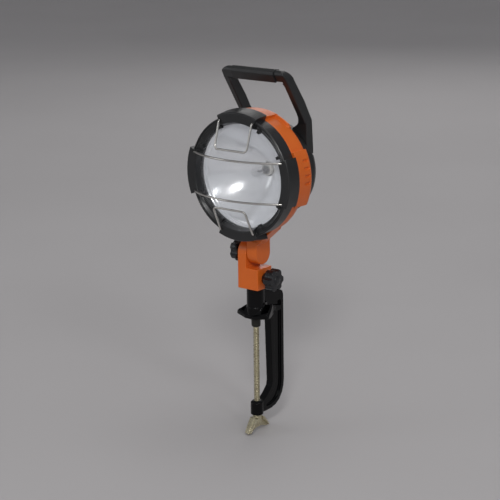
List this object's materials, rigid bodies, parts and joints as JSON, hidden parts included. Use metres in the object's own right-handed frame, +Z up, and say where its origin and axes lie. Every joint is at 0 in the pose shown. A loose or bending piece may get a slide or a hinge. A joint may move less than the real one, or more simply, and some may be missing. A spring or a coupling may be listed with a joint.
{
  "type": "work light",
  "caption": "Portable round work light on a screw clamp: caged lens, carrying handle, tilting and swivelling head, wing-handled clamp screw.",
  "frame": {"origin": "on the clamp screw's axis, in the plane of the fixed jaw's underside, where the clamp bears on a table edge or shelf", "axes": "+Z up along the clamp screw, -Y the way the lamp faces at rest, +X to the right seen from behind the lamp"},
  "size_m": [0.165, 0.1239, 0.4815],
  "materials": {
    "black_enamel": "glossy black enamel",
    "foot_black": "blackened steel",
    "zinc_screw": "pale yellow zinc plating",
    "orange_plastic": "satin moulded orange",
    "black_plastic": "satin charcoal black",
    "knob_plastic": "satin charcoal black",
    "soft_grip": "soft matt black",
    "nickel_wire": "bright nickel plating",
    "lens_glass": "clear",
    "gasket_rubber": "matt",
    "reflector_metal": "bright anodised",
    "bulb_glass": "clear",
    "filament_wire": "plain",
    "ceramic_white": "glazed white",
    "zinc_steel": "bright zinc plating",
    "terminal_plastic": "natural white",
    "brass_parts": "plain",
    "gland_plastic": "satin black",
    "switch_black": "satin black",
    "rocker_black": "glossy black"
  },
  "bodies": {
    "clamp": {"clamp_frame": "black_enamel"},
    "foot": {"pressure_foot": "foot_black", "foot_clip": "zinc_steel"},
    "screw": {"clamp_screw": "zinc_screw", "wing_handle": "zinc_screw", "wing_pin": "zinc_screw"},
    "swivel": {"swivel_block": "orange_plastic", "pan_nut": "zinc_steel", "tilt_washer": "zinc_steel"},
    "pan_knob_body": {"pan_knob": "knob_plastic", "pan_stud": "zinc_steel"},
    "tilt_knob_body": {"tilt_knob": "knob_plastic", "tilt_stud": "zinc_steel"},
    "head": {"front_bezel": "black_plastic", "guard_wire_upper": "nickel_wire", "guard_wire_lower": "nickel_wire", "guard_loop_top": "nickel_wire", "guard_loop_bottom": "nickel_wire", "lens": "lens_glass", "lens_gasket": "gasket_rubber", "reflector": "reflector_metal", "main_housing": "orange_plastic", "tilt_nut": "zinc_steel", "bezel_screws": "zinc_steel", "rear_cover": "black_plastic", "handle_frame": "black_plastic", "rear_gasket": "gasket_rubber", "rear_cover_screws": "zinc_steel", "handle_screws": "zinc_steel", "handle_grip": "soft_grip", "lamp_glass": "bulb_glass", "lamp_filament": "filament_wire", "lamp_base": "ceramic_white", "lamp_holder": "ceramic_white", "lamp_bracket": "zinc_steel", "bracket_screws": "zinc_steel", "terminal_block": "terminal_plastic", "terminal_screws": "brass_parts", "cord_gland": "gland_plastic", "gland_locknut": "gland_plastic", "gland_nut": "gland_plastic", "switch_body": "switch_black"},
    "rocker": {"switch_rocker": "rocker_black"}
  },
  "joints": [
    {"name": "foot_slide", "type": "slide", "parent": "clamp", "child": "foot", "axis": [0, 0, -1], "range_m": [0, 0.095]},
    {"name": "clamp_screw_turn", "type": "hinge", "parent": "foot", "child": "screw", "pos_m": [0, 0, 0], "axis": [0, 0, -1], "range_deg": [0, 17110]},
    {"name": "pan_swivel", "type": "hinge", "parent": "clamp", "child": "swivel", "pos_m": [0, 0, 0.054], "axis": [0, 0, 1], "continuous": true},
    {"name": "head_tilt", "type": "hinge", "parent": "swivel", "child": "head", "pos_m": [0, 0, 0.0869], "axis": [1, 0, 0], "range_deg": [-75, 90]},
    {"name": "tilt_knob_turn", "type": "hinge", "parent": "swivel", "child": "tilt_knob_body", "pos_m": [0, 0, 0.0869], "axis": [-1, 0, 0], "range_deg": [0, 720]},
    {"name": "pan_knob_turn", "type": "hinge", "parent": "swivel", "child": "pan_knob_body", "pos_m": [0, 0, 0.054], "axis": [1, 0, 0], "range_deg": [0, 720]},
    {"name": "switch_rock", "type": "hinge", "parent": "head", "child": "rocker", "pos_m": [0, 0.0534, 0.2269], "axis": [1, 0, 0], "range_deg": [0, 22]}
  ],
  "couplings": [
    {"joint": "clamp_screw_turn", "follows": "foot_slide", "rad_per_m": 3141.6}
  ]
}
